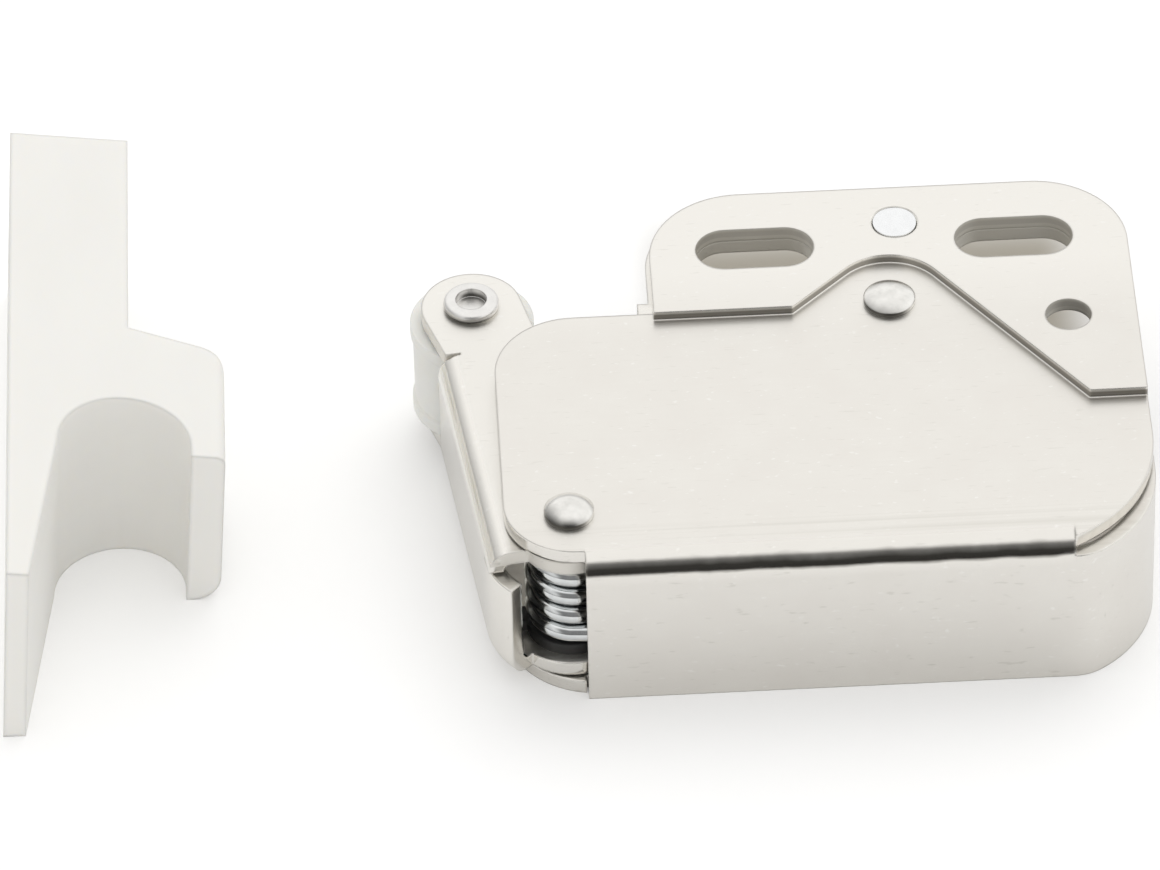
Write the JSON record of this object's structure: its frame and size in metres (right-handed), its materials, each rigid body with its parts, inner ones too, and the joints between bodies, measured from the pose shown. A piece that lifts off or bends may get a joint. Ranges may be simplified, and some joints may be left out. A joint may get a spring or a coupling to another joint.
{
  "type": "cabinet latch",
  "caption": "Push-to-open cabinet latch: flat folded steel case with slotted mounting pad, sprung roller lever and a separate hook-shaped striker.",
  "frame": {"origin": "middle of the two fixing slots, on the mounting face of the raised pad", "axes": "+Z out of the mounting face, +X along the row of slots, away from the lever; +Y from the lever pivot to the slots"},
  "size_m": [0.067, 0.0388, 0.0128],
  "materials": {
    "nickel_sheet": "nickel plated, fine rolled grain",
    "rivet_steel": "nickel plated, upset heads",
    "bright_steel": "bright, ground flush",
    "plain_steel": "plain drawn steel",
    "spring_steel": "bright zinc plated wire",
    "black_plastic": "moulded",
    "roller_plastic": "moulded, slightly translucent",
    "striker_plastic": "moulded, fine satin"
  },
  "bodies": {
    "case": {"cover_shell": "nickel_sheet", "base_shell": "nickel_sheet", "pivot_rivet": "rivet_steel", "pivot_sleeve": "plain_steel", "follower_rivet": "rivet_steel", "lower_spacer": "plain_steel", "upper_spacer": "plain_steel", "flange_rivet": "bright_steel", "torsion_spring": "spring_steel", "striker": "striker_plastic"},
    "lever": {"lever": "nickel_sheet", "roller_eyelet": "rivet_steel", "cam_block": "black_plastic"},
    "roller": {"roller": "roller_plastic"},
    "follower": {"follower_link": "plain_steel"}
  },
  "joints": [
    {"name": "lever_swing", "type": "hinge", "parent": "case", "child": "lever", "pos_m": [-0.01965, -0.02177, -0.0059], "axis": [0, 0, 1], "range_deg": [-6, 34], "deforming": ["torsion_spring"]},
    {"name": "roller_spin", "type": "hinge", "parent": "lever", "child": "roller", "pos_m": [-0.0245, -0.00218, -0.0059], "axis": [0, 0, 1], "continuous": true},
    {"name": "follower_swing", "type": "hinge", "parent": "case", "child": "follower", "pos_m": [-0.00001, -0.00458, -0.0059], "axis": [0, 0, 1], "range_deg": [-1.5, 1.5]}
  ]
}
